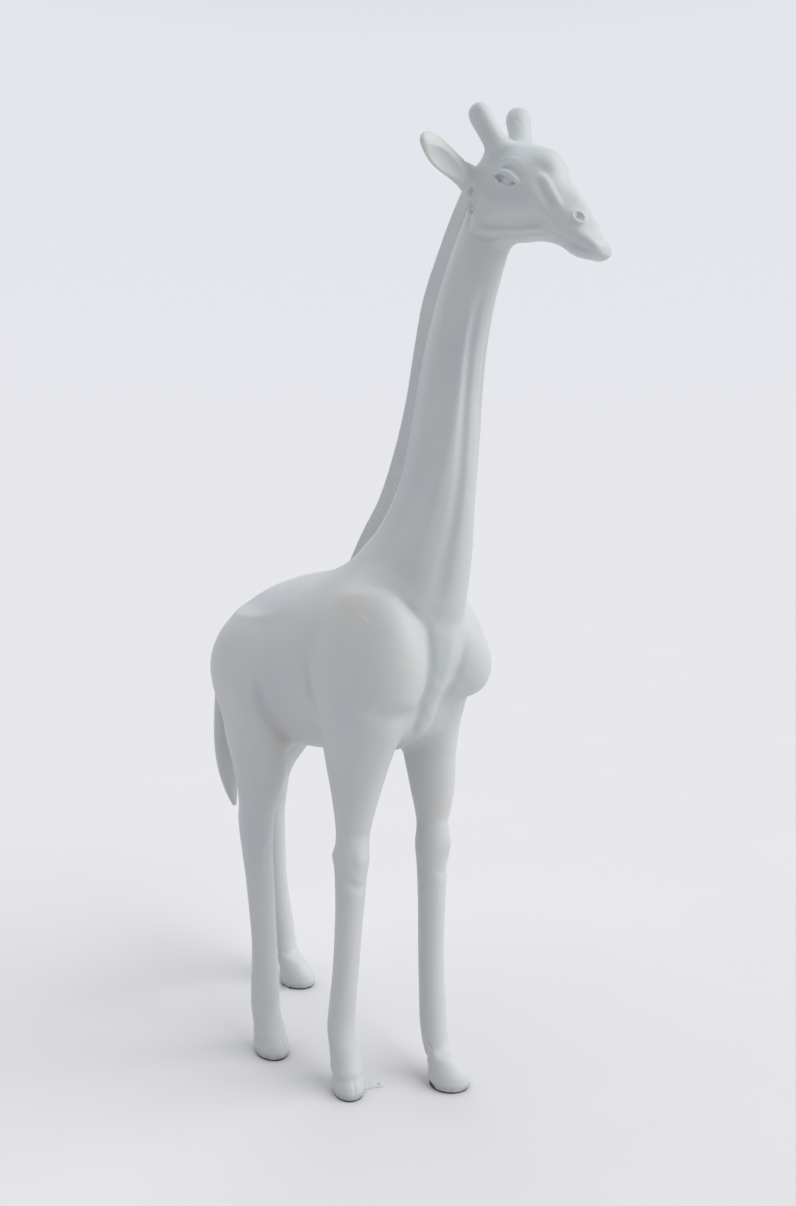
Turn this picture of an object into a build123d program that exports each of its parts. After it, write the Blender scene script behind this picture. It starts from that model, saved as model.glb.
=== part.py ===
from build123d import *
import math
import os

# A standing giraffe statue, 2.4 m tall: a hollow skin of glass-fibre laminate over a welded steel frame.
#
# Millimetres, +Z up, standing on Z = 0 and facing -Y, so the animal's right side is -X.
# The skin is moulded in pieces that are bonded edge to edge: a right and a left half for the trunk, the neck
# and the head, and an outer and an inner half for each leg. Hooves, ears, horns, mane and tail are solid
# castings. Inside, a bent tube runs up each leg to a cross tube, a spine tube joins the two cross tubes, and
# another bent tube carries the neck and head. Under each hoof a steel sole plate has a drilled ground strap.
# Everything is drawn about a point between the four feet, then moved so that the origin is at the middle of
# the bounding box, on the ground.

# ---------------------------------------------------------------- driving dimensions
WALL = 5.0                    # laminate thickness of every hollow moulding
TAPE_W = 30.0                 # width of the laminate tape bonded over each midline seam, inside
TAPE_T = 3.0
TUBE_R = 11.0                 # leg and neck tubes
TUBE_WALL = 2.0
CROSS_R = 15.0                # cross tubes and spine tube
CROSS_REACH = 128.0           # half length of a cross tube
CROSS_Z = 1130.0              # height of the cross tubes and the spine tube
SHOULDER_Y = -215.0           # front cross tube
HIP_Y = 205.0                 # rear cross tube
BEND_R = 110.0                # bends in the leg tubes
NECK_BEND_R = 260.0
PLATE_SIZE = (60, 56)         # anchor plate that carries the head
PLATE_CORNER = 8.0
ROD_R = 4.0                   # tail rod, horn pins and ear pins
PIN_HALF = 32.0               # each pin reaches this far into both pieces that it joins
HOOF_TOP = 62.0               # joint plane between a leg moulding and its hoof
SOLE_T = 6.0                  # steel sole plate
SOLE_INSET = 3.0              # the plate lies this far inside the hoof's edge
STRAP_T = 3.0                 # ground strap, 20 mm flat bar
STRAP_W = 20.0
STRAP_REACH = 52.0            # how far the strap stands out past the sole plate
STRAP_HOLE_R = 4.5            # clears an M8 ground bolt
STRAP_HOLE_EDGE = 12.0        # hole centre to the strap's free end
MANE_HALF = 12.0              # half thickness of the mane
RING_POINTS = 12              # points round each section of a moulding

# Trunk sections, chest to rump: y, lowest z, highest z, half width.
TRUNK = [
    (-345, 1040, 1215, 45),
    (-325, 990, 1262, 98),
    (-270, 945, 1325, 145),
    (-180, 905, 1362, 170),
    (-40, 882, 1368, 182),
    (110, 870, 1345, 186),
    (230, 876, 1302, 180),
    (330, 905, 1244, 160),
    (400, 955, 1180, 126),
    (440, 1010, 1120, 72),
]

# Neck sections, bottom to top: y, z, lean of the section's normal back from vertical, half width, half depth.
NECK = [
    (-170, 1140, 34, 120, 160),
    (-205, 1220, 32, 138, 200),
    (-262, 1330, 28, 110, 176),
    (-318, 1440, 21, 88, 138),
    (-356, 1560, 15, 74, 108),
    (-379, 1690, 11, 66, 89),
    (-397, 1820, 11, 61, 78),
    (-423, 1940, 17, 57, 71),
    (-464, 2060, 25, 54, 68),
    (-510, 2160, 30, 50, 62),
]

# Head sections along the head's own axis: distance from the poll, lowest, highest, half width.
HEAD_Y = -500.0
HEAD_Z = 2200.0
HEAD_PITCH = 40.0             # the axis points this far below the horizon
HEAD = [
    (-48, 20, 92, 34),
    (-25, -12, 122, 56),
    (25, -38, 145, 66),
    (75, -44, 155, 68),
    (125, -24, 148, 63),
    (175, 8, 130, 52),
    (225, 26, 112, 43),
    (275, 30, 96, 40),
    (315, 45, 86, 34),
    (338, 54, 76, 21),
]

# Leg sections from the hoof joint up into the trunk: z, half width, half depth.
FRONT_SECTIONS = [
    (62, 37, 43),
    (115, 35, 38),
    (185, 35, 37),
    (330, 33, 36),
    (480, 35, 38),
    (585, 40, 42),
    (645, 44, 47),
    (710, 42, 45),
    (800, 52, 64),
    (900, 66, 92),
    (1010, 84, 122),
    (1110, 86, 138),
    (1200, 76, 122),
    (1275, 34, 60),
]
HIND_SECTIONS = [
    (62, 38, 44),
    (125, 38, 43),
    (190, 38, 42),
    (320, 35, 38),
    (480, 38, 42),
    (570, 41, 46),
    (660, 44, 56),
    (720, 48, 62),
    (800, 60, 86),
    (900, 74, 118),
    (1010, 86, 142),
    (1120, 80, 130),
    (1200, 54, 92),
]

# Centre of each leg at its section heights, as (x, y): the animal is in mid stride, left feet apart.
LEG_LINES = {
    "front_right": [
        (-112, -148), (-112, -136), (-112, -129), (-112, -147), (-112, -161), (-112, -169), (-112, -172),
        (-112, -178), (-114, -188), (-118, -200), (-124, -220), (-122, -236), (-106, -238), (-76, -215)],
    "front_left": [
        (98, -296), (98, -274), (98, -266), (98, -259), (98, -260), (100, -260), (100, -260),
        (102, -260), (104, -255), (108, -246), (117, -242), (127, -262), (112, -256), (76, -225)],
    "hind_right": [
        (-135, 140), (-135, 158), (-135, 158), (-135, 160), (-135, 173), (-134, 184), (-132, 190),
        (-130, 182), (-126, 180), (-118, 182), (-106, 186), (-98, 180), (-88, 170)],
    "hind_left": [
        (155, 400), (157, 428), (157, 440), (157, 462), (157, 474), (155, 474), (152, 464),
        (148, 436), (140, 384), (128, 322), (110, 262), (98, 236), (88, 220)],
}

# Hooves: centre of the footprint x and y, half width, half length, toe turned out (degrees), and the
# direction that the ground strap points in (degrees from +X, anticlockwise seen from above).
HOOVES = {
    "front_right": (-111, -154, 43, 54, 25, -31),
    "front_left": (91, -330, 45, 58, 30, 47),
    "hind_right": (-137, 131, 45, 60, 0, 50),
    "hind_left": (157, 362, 46, 62, 18, 174),
}

# Leg tubes: points (x, y, z) of each tube between its sole plate and its cross tube.
TUBE_LINES = {
    "front_right": [(-112, -146, 150), (-112, -162, 520), (-114, -186, 860)],
    "front_left": [(98, -290, 90), (98, -262, 240), (101, -258, 700), (110, -246, 930)],
    "hind_right": [(-135, 148, 140), (-134, 178, 560), (-122, 182, 860)],
    "hind_left": [(156, 396, 70), (157, 446, 260), (155, 474, 600), (139, 384, 810)],
}

# Neck tube: points (y, z) from the front cross tube to the anchor plate in the head.
NECK_LINE = [(SHOULDER_Y, CROSS_Z), (-308, 1430), (-390, 1800), (-478, 2090), (-516, 2196)]

# Tail: centre y, z, half width, half depth of each level section, dock to tip.
TAIL = [
    (404, 1165, 20, 24),
    (452, 1105, 27, 34),
    (492, 1020, 28, 34),
    (508, 930, 26, 32),
    (512, 850, 27, 34),
    (509, 770, 27, 34),
    (497, 700, 22, 28),
    (478, 645, 14, 19),
    (466, 612, 6, 8),
]
TAIL_ROD_LINE = [(HIP_Y, CROSS_Z), (462, 1124), (504, 985), (510, 880)]
TAIL_ROD_BENDS = [30, 60]

# Free edge of the mane (y, z), withers to poll, and a line inside the neck that closes its outline.
MANE_EDGE = [
    (-44, 1362), (-104, 1462), (-170, 1556), (-222, 1672), (-260, 1790), (-286, 1907), (-314, 2019),
    (-362, 2122), (-408, 2206), (-462, 2286)]
MANE_ROOT = [(-500, 2240), (-450, 2080), (-400, 1930), (-366, 1690), (-320, 1480), (-200, 1300)]

# Horns: base and tip of the right one (x, y, z), with radii at its base, waist and knob.
HORN_BASE = (-44, -552, 2262)
HORN_TIP = (-63, -529, 2388)
HORN_RADII = [(0.0, 27), (0.3, 20), (0.62, 19), (0.86, 22), (0.97, 16)]

# Ears: root and tip of the right one (x, y, z), and its section (half thickness, half height) along it.
EAR_ROOT = (-48, -482, 2240)
EAR_TIP = (-196, -472, 2298)
EAR_SECTIONS = [(0.0, 18, 21), (0.22, 17, 27), (0.5, 16, 36), (0.78, 12, 33), (0.95, 7, 17)]


# ---------------------------------------------------------------- helpers
def ring(plane, half_x, half_y):
    """A closed oval face on a plane."""
    turns = [2 * math.pi * i / RING_POINTS for i in range(RING_POINTS)]
    points = [(half_x * math.cos(t), half_y * math.sin(t)) for t in turns]
    return plane * make_face(Spline(*points, periodic=True))


def skin(rings):
    """A smooth solid through a list of oval faces."""
    return Solid(loft(rings).solids()[0].wrapped)


def largest(shape):
    """The largest solid of a shape, which drops slivers left by a cut."""
    return max(shape.solids(), key=lambda solid: solid.volume)


def slab(x_low, x_high):
    """A tall block between two planes of constant x."""
    reach = 3000
    return Pos((x_low + x_high) / 2, 0, reach / 2) * Box(x_high - x_low, reach, reach + 200)


def rod(points, radius, bends):
    """A solid round bar along straight runs joined by arcs."""
    if len(points) == 2:
        path = Line(*points)
    else:
        path = FilletPolyline(*points, radius=bends)
    start = Plane(origin=path @ 0, z_dir=path % 0)
    return sweep(start * Circle(radius), path=path)


def tube(points, radius, bends):
    """The same bar as a tube."""
    return rod(points, radius, bends) - rod(points, radius - TUBE_WALL, bends)


def mirrored(point):
    """The point on the other side of the animal."""
    return (-point[0], point[1], point[2])


def between(start, end, t):
    """The point at fraction t of the way from start to end."""
    return tuple(a + (b - a) * t for a, b in zip(start, end))


# ---------------------------------------------------------------- outer and inner surfaces
def trunk_solid(inset):
    rings = []
    last = len(TRUNK) - 1
    for index, (y, low, high, half) in enumerate(TRUNK):
        shift = inset if index == 0 else -inset if index == last else 0
        plane = Plane(origin=(0, y + shift, (low + high) / 2), x_dir=(1, 0, 0), z_dir=(0, -1, 0))
        rings.append(ring(plane, half - inset, (high - low) / 2 - inset))
    return skin(rings)


def neck_solid(inset):
    rings = []
    for y, z, lean, half_width, half_depth in NECK:
        angle = math.radians(lean)
        normal = (0, -math.sin(angle), math.cos(angle))
        plane = Plane(origin=(0, y, z), x_dir=(1, 0, 0), z_dir=normal)
        rings.append(ring(plane, half_width - inset, half_depth - inset))
    return skin(rings)


def head_point(along, up):
    """The (y, z) of a point in the head's own frame."""
    pitch = math.radians(HEAD_PITCH)
    y = HEAD_Y - along * math.cos(pitch) - up * math.sin(pitch)
    z = HEAD_Z - along * math.sin(pitch) + up * math.cos(pitch)
    return y, z


def head_solid(inset):
    pitch = math.radians(HEAD_PITCH)
    rings = []
    last = len(HEAD) - 1
    for index, (along, low, high, half) in enumerate(HEAD):
        shift = inset if index == 0 else -inset if index == last else 0
        y, z = head_point(along + shift, (low + high) / 2)
        plane = Plane(origin=(0, y, z), x_dir=(1, 0, 0), z_dir=(0, -math.cos(pitch), -math.sin(pitch)))
        rings.append(ring(plane, half - inset, (high - low) / 2 - inset))
    return skin(rings)


def leg_solid(name, inset):
    sections = FRONT_SECTIONS if name.startswith("front") else HIND_SECTIONS
    rings = []
    for index, ((z, half_width, half_depth), (x, y)) in enumerate(zip(sections, LEG_LINES[name])):
        drop = inset if index == 0 else 0
        rings.append(ring(Plane.XY.offset(z - drop).move(Location((x, y, 0))), half_width - inset,
                          half_depth - inset))
    return skin(rings)


trunk_outer = trunk_solid(0)
neck_outer = neck_solid(0)
head_outer = head_solid(0)
leg_outer = {name: leg_solid(name, 0) for name in LEG_LINES}

parts = {}

# ---------------------------------------------------------------- steel frame
cross_front = Pos(0, SHOULDER_Y, CROSS_Z) * Rot(0, 90, 0) * Cylinder(CROSS_R, 2 * CROSS_REACH)
cross_rear = Pos(0, HIP_Y, CROSS_Z) * Rot(0, 90, 0) * Cylinder(CROSS_R, 2 * CROSS_REACH)
bore = Cylinder(CROSS_R - TUBE_WALL, 2 * CROSS_REACH)
parts["shoulder_cross_tube"] = cross_front - Pos(0, SHOULDER_Y, CROSS_Z) * Rot(0, 90, 0) * bore
parts["hip_cross_tube"] = cross_rear - Pos(0, HIP_Y, CROSS_Z) * Rot(0, 90, 0) * bore
spine_ends = [(0, SHOULDER_Y, CROSS_Z), (0, HIP_Y, CROSS_Z)]
parts["spine_tube"] = tube(spine_ends, CROSS_R, []) - cross_front - cross_rear

leg_cores = {}
for name, line in TUBE_LINES.items():
    foot_x, foot_y = line[0][0], line[0][1]
    cross_y = SHOULDER_Y if name.startswith("front") else HIP_Y
    top_x = math.copysign(CROSS_REACH - TUBE_R - 4, foot_x)
    points = [(foot_x, foot_y, SOLE_T)] + line + [(top_x, cross_y, CROSS_Z)]
    bends = [BEND_R] * len(line)
    cross = cross_front if name.startswith("front") else cross_rear
    leg_cores[name] = rod(points, TUBE_R, bends)
    parts[f"{name}_leg_tube"] = largest(tube(points, TUBE_R, bends) - cross)

neck_points = [(0, y, z) for y, z in NECK_LINE]
neck_bends = [NECK_BEND_R] * (len(neck_points) - 2)
neck_core = rod(neck_points, TUBE_R, neck_bends)
parts["neck_tube"] = largest(tube(neck_points, TUBE_R, neck_bends) - cross_front
                             - rod(spine_ends, CROSS_R, []))
tail_points = [(0, y, z) for y, z in TAIL_ROD_LINE]
tail_core = rod(tail_points, ROD_R, TAIL_ROD_BENDS) - cross_rear
parts["tail_rod"] = largest(tail_core)

top_y, top_z = NECK_LINE[-1]
lean = math.atan2(NECK_LINE[-2][0] - top_y, top_z - NECK_LINE[-2][1])
plate_plane = Plane(origin=(0, top_y, top_z), x_dir=(1, 0, 0), z_dir=(0, -math.sin(lean), math.cos(lean)))
anchor_plate = extrude(plate_plane * RectangleRounded(*PLATE_SIZE, PLATE_CORNER), SOLE_T)
parts["head_anchor_plate"] = anchor_plate

# ---------------------------------------------------------------- feet
mount_holes = {}
for name, (x, y, half_width, half_length, toe_out, strap_turn) in HOOVES.items():
    side = math.copysign(1, x)
    turn = side * toe_out
    top_x, top_y = LEG_LINES[name][0]
    section = FRONT_SECTIONS[0] if name.startswith("front") else HIND_SECTIONS[0]
    levels = [(SOLE_T, 0.0, 0.95), (SOLE_T + 12, 0.04, 1.0), (34, 0.35, 0.97), (50, 0.75, 0.97)]
    rings = []
    for z, blend, size in levels:
        centre = (x + (top_x - x) * blend, y + (top_y - y) * blend)
        width = (half_width + (section[1] - half_width) * blend) * size
        length = (half_length + (section[2] - half_length) * blend) * size
        plane = Plane.XY.offset(z).move(Location((centre[0], centre[1], 0), (0, 0, turn * (1 - blend))))
        rings.append(ring(plane, width, length))
    rings.append(ring(Plane.XY.offset(HOOF_TOP).move(Location((top_x, top_y, 0))), section[1], section[2]))
    parts[f"{name}_hoof"] = largest(skin(rings) - leg_cores[name])

    foot = Location((x, y, 0), (0, 0, turn))
    sole = extrude(foot * Ellipse(half_length * 0.95 - SOLE_INSET, half_width * 0.95 - SOLE_INSET, 90), SOLE_T)
    parts[f"{name}_sole_plate"] = sole
    strap_plane = Location((x, y, 0), (0, 0, strap_turn))
    edge = half_width * 0.95
    reach = edge + STRAP_REACH
    bar = strap_plane * Pos(reach / 2, 0, STRAP_T / 2) * Box(reach, STRAP_W, STRAP_T)
    hole_at = strap_plane * Pos(reach - STRAP_HOLE_EDGE, 0, 0)
    hole = hole_at * Pos(0, 0, STRAP_T / 2) * Cylinder(STRAP_HOLE_R, 2 * STRAP_T)
    parts[f"{name}_ground_strap"] = largest(bar - sole - hole)
    mount_holes[name] = hole_at.position

# ---------------------------------------------------------------- skin mouldings
pins = {}
for side_name, place in (("right", lambda p: p), ("left", mirrored)):
    base, tip = place(HORN_BASE), place(HORN_TIP)
    axis = Vector(*tip) - Vector(*base)
    rings = [ring(Plane(origin=between(base, tip, t), z_dir=axis), r, r) for t, r in HORN_RADII]
    horn = skin(rings) - head_outer
    pin_middle = between(base, tip, 0.18)
    half = axis.normalized() * PIN_HALF
    start, end = Vector(*pin_middle) - half, Vector(*pin_middle) + half
    pins[f"horn_pin_{side_name}"] = rod([tuple(start), tuple(end)], ROD_R, [])
    parts[f"horn_{side_name}"] = largest(horn - pins[f"horn_pin_{side_name}"])

    root, tip = place(EAR_ROOT), place(EAR_TIP)
    axis = Vector(*tip) - Vector(*root)
    rings = []
    for t, half_thick, half_high in EAR_SECTIONS:
        plane = Plane(origin=between(root, tip, t), x_dir=(0, 1, 0), z_dir=axis)
        rings.append(ring(plane, half_thick, half_high))
    half = axis.normalized() * PIN_HALF
    pin_middle = Vector(*between(root, tip, 0.16))
    ear_pin = rod([tuple(pin_middle - half), tuple(pin_middle + half)], ROD_R, [])
    pins[f"ear_pin_{side_name}"] = ear_pin
    parts[f"ear_{side_name}"] = largest(skin(rings) - head_outer - neck_outer - ear_pin)
parts.update(pins)

frame_solids = list(leg_cores.values()) + [neck_core, tail_core, anchor_plate] + list(pins.values())


def cut_all(shape, tools):
    for tool in tools:
        shape = shape - tool
    return shape


halves = {"right": slab(-1500, 0), "left": slab(0, 1500)}
tape_slab = slab(-TAPE_W / 2, TAPE_W / 2)
mouldings = {
    "trunk": (trunk_outer, trunk_solid, []),
    "neck": (neck_outer, neck_solid, [trunk_outer, head_outer, leg_outer["front_right"],
                                      leg_outer["front_left"]]),
    "head": (head_outer, head_solid, []),
}
for name, (outer, solid, neighbours) in mouldings.items():
    inner = solid(WALL)
    shell = cut_all(outer - inner, neighbours + frame_solids)
    for side_name, half in halves.items():
        parts[f"{name}_shell_{side_name}"] = largest(shell & half)
    tape = cut_all((inner - solid(WALL + TAPE_T)) & tape_slab, neighbours + frame_solids)
    if name == "neck":
        front, rear = sorted(tape.solids(), key=lambda strip: -strip.volume)[:2]
        if front.center().Y > rear.center().Y:
            front, rear = rear, front
        parts["neck_front_seam_tape"] = front
        parts["neck_rear_seam_tape"] = rear
    else:
        parts[f"{name}_seam_tape"] = largest(tape)

for name, line in LEG_LINES.items():
    shell = leg_outer[name] - leg_solid(name, WALL) - trunk_outer
    split_x = line[0][0]
    low, high = slab(-1500, split_x), slab(split_x, 1500)
    outer_half, inner_half = (low, high) if split_x < 0 else (high, low)
    parts[f"{name}_leg_outer"] = largest(shell & outer_half)
    parts[f"{name}_leg_inner"] = largest(shell & inner_half)

tail_rings = [ring(Plane.XY.offset(z).move(Location((0, y, 0))), half_width, half_depth)
              for y, z, half_width, half_depth in TAIL]
parts["tail"] = largest(cut_all(skin(tail_rings), [trunk_outer, tail_core]))

mane_outline = Spline(*[(0, y, z) for y, z in MANE_EDGE]) + Polyline(
    *[(0, y, z) for y, z in [MANE_EDGE[-1]] + MANE_ROOT + [MANE_EDGE[0]]])
mane = extrude(make_face(mane_outline), amount=MANE_HALF, dir=(1, 0, 0), both=True)
parts["mane"] = largest(cut_all(mane, [neck_outer, trunk_outer, head_outer]))

# ---------------------------------------------------------------- origin and files
everything = Compound(children=[Compound(shape.solids()) for shape in parts.values()])
box = everything.bounding_box()
to_origin = Location((-box.center().X, -box.center().Y, -box.min.Z))
print("moved by", to_origin.position)
print("size", box.size)
for name, hole in mount_holes.items():
    print("strap hole", name, (to_origin * Location(hole)).position)

os.makedirs("parts", exist_ok=True)
for name, shape in parts.items():
    solids = [solid.moved(to_origin) for solid in shape.solids()]
    whole = solids[0] if len(solids) == 1 else Compound(solids)
    export_step(whole, f"parts/{name}.step")
print(len(parts), "nodes")
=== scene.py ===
import math
import bpy
import numpy as np
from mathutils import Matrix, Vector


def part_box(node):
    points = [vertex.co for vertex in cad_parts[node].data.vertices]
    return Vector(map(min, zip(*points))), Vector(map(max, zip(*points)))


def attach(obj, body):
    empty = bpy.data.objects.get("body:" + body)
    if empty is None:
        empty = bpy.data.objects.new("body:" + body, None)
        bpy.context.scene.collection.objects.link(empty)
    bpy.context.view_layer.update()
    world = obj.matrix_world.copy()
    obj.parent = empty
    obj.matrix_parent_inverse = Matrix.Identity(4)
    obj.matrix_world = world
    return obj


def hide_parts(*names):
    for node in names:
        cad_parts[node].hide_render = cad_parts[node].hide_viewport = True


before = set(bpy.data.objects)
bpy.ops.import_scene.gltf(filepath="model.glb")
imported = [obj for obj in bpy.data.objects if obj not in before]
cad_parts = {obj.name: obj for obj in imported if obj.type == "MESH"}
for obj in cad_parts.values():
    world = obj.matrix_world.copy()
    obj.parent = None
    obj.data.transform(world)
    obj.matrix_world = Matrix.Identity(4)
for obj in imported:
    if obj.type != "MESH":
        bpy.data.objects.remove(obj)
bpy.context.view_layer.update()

import openvdb
from mathutils import Vector

# A white giraffe statue. The skin is sculpted as a signed distance field (metres, negative inside): its
# sections are measured on the CAD mouldings, muscles and features are blended on, and the surface is meshed and
# cut at the same joints as the CAD nodes, each of which it replaces. Sculpting is done about a point between
# the four feet (HOME); HOME is added back when a mesh is made.

LEGS = ("front_right", "front_left", "hind_right", "hind_left")
WALL = 0.005                    # laminate thickness
HEAD_WALL = 0.004
FAR = 0.3                       # field value away from everything
TINY = 1e-9                     # keeps divisions finite
MIDDLE_SHIFT = 0.00225          # the sculpting origin is this far in front of the plates' middle


# ---- measuring the frame
def foot_middle():
    corners = [np.array(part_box(f"{leg}_sole_plate")) for leg in LEGS]
    middle = np.mean([c.mean(axis=0) for c in corners], axis=0)
    return np.array([middle[0], middle[1] - MIDDLE_SHIFT, 0.0])


HOME = foot_middle()


def mesh_arrays(node):
    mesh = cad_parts[node].data
    verts = np.empty(len(mesh.vertices) * 3)
    mesh.vertices.foreach_get("co", verts)
    edges = np.empty(len(mesh.edges) * 2, dtype=int)
    mesh.edges.foreach_get("vertices", edges)
    return verts.reshape(-1, 3) - HOME, edges.reshape(-1, 2)


def girths(nodes, origin, across, up, along, stations):
    """Sections of CAD mouldings: (station, centre across, centre up, half across, half up)."""
    points, ends = [], []
    count = 0
    for node in nodes:
        verts, edges = mesh_arrays(node)
        points.append((verts - origin) @ np.array([across, up, along]).T)
        ends.append(edges + count)
        count += len(verts)
    points, ends = np.concatenate(points), np.concatenate(ends)
    rows = []
    for station in stations:
        gap = points[:, 2] - station
        a, b = ends[:, 0], ends[:, 1]
        hit = gap[a] * gap[b] < 0
        a, b = a[hit], b[hit]
        t = gap[a] / (gap[a] - gap[b])
        cut = points[a, :2] + (points[b, :2] - points[a, :2]) * t[:, None]
        low, high = cut.min(axis=0), cut.max(axis=0)
        rows.append((station, *((low + high) / 2), *((high - low) / 2)))
    return np.array(rows)


# ---- the field
def smooth_min(a, b, k):
    h = np.maximum(k - np.abs(a - b), 0.0) / k
    return np.minimum(a, b) - h * h * k * 0.25


def curve(points, steps=6):
    """Points along a smooth line through a few given ones; extra columns such as radii come along."""
    rows = np.array(points, dtype=float)
    out = []
    for i in range(len(rows) - 1):
        p0, p1, p2, p3 = rows[max(i - 1, 0)], rows[i], rows[i + 1], rows[min(i + 2, len(rows) - 1)]
        for t in np.arange(steps) / steps:
            out.append(0.5 * (2 * p1 + (p2 - p0) * t + (2 * p0 - 5 * p1 + 4 * p2 - p3) * t * t
                              + (3 * p1 - p0 - 3 * p2 + p3) * t ** 3))
    return np.array(out + [rows[-1]])


def unit(vectors):
    return vectors / (np.linalg.norm(vectors, axis=-1, keepdims=True) + 1e-12)


def oval_wall(a, u, half_a, half_u):
    """About how far a point (a, u) is outside an oval."""
    da, du = a / half_a, u / half_u
    k0 = np.sqrt(da * da + du * du)
    k1 = np.sqrt((da / half_a) ** 2 + (du / half_u) ** 2) + TINY
    return k0 * (k0 - 1.0) / k1


def to_segment(a, b, x, y, z):
    """Share of the way from a to b that is nearest to each point, and the squared distance there."""
    d = b[:3] - a[:3]
    length = max(float(d @ d), 1e-12)
    t = np.clip(((x - a[0]) * d[0] + (y - a[1]) * d[1] + (z - a[2]) * d[2]) / length, 0, 1)
    return t, (x - a[0] - d[0] * t) ** 2 + (y - a[1] - d[1] * t) ** 2 + (z - a[2] - d[2] * t) ** 2


class Stack:
    """A tapering limb: oval sections in planes square to `along`, drawn from a table."""

    def __init__(self, rows, origin=(0, 0, 0), across=(1, 0, 0), up=(0, 1, 0), along=(0, 0, 1), cap=0.01):
        self.rows = curve(rows, 8)
        self.origin = np.array(origin, float)
        self.axes = np.array([across, up, along], float)
        self.cap = cap

    def bounds(self):
        s, a, u, ra, ru = self.rows.T
        corners = []
        for sign_a in (-1, 1):
            for sign_u in (-1, 1):
                local = np.stack([a + sign_a * ra, u + sign_u * ru, s], 1)
                corners.append(local @ self.axes + self.origin)
        corners = np.concatenate(corners)
        return corners.min(axis=0), corners.max(axis=0)

    def __call__(self, x, y, z):
        x, y, z = x - self.origin[0], y - self.origin[1], z - self.origin[2]
        a, u, s = (axis[0] * x + axis[1] * y + axis[2] * z for axis in self.axes)
        table = self.rows
        station = np.clip(s, table[0, 0], table[-1, 0])
        ca, cu, ra, ru = (np.interp(station, table[:, 0], table[:, i]) for i in range(1, 5))
        wall = np.maximum(oval_wall(a - ca, u - cu, ra, ru), -np.minimum(ra, ru))
        end = np.maximum(s - table[-1, 0], table[0, 0] - s)
        return -smooth_min(-wall, -end, self.cap)


class Blob:
    """An ellipsoid whose longest axis can point anywhere."""

    def __init__(self, centre, radii, axes=None):
        self.centre = np.array(centre, float)
        self.radii = np.array(radii, float)
        self.axes = np.eye(3) if axes is None else np.array(axes, float)

    def bounds(self):
        reach = np.full(3, self.radii.max())
        return self.centre - reach, self.centre + reach

    def __call__(self, x, y, z):
        x, y, z = x - self.centre[0], y - self.centre[1], z - self.centre[2]
        parts = [(axis[0] * x + axis[1] * y + axis[2] * z) for axis in self.axes]
        k0 = np.sqrt(sum((p / r) ** 2 for p, r in zip(parts, self.radii)))
        k1 = np.sqrt(sum((p / (r * r)) ** 2 for p, r in zip(parts, self.radii))) + TINY
        return np.maximum(k0 * (k0 - 1.0) / k1, -self.radii.min())


class Cord:
    """A round bar along a smooth line of (x, y, z, radius)."""

    def __init__(self, points, steps=6):
        self.rows = curve(points, steps)

    def bounds(self):
        r = self.rows[:, 3].max()
        return self.rows[:, :3].min(axis=0) - r, self.rows[:, :3].max(axis=0) + r

    def __call__(self, x, y, z):
        best = None
        for a, b in zip(self.rows[:-1], self.rows[1:]):
            t, squared = to_segment(a, b, x, y, z)
            gap = np.sqrt(squared) - (a[3] + (b[3] - a[3]) * t)
            best = gap if best is None else np.minimum(best, gap)
        return best


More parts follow.
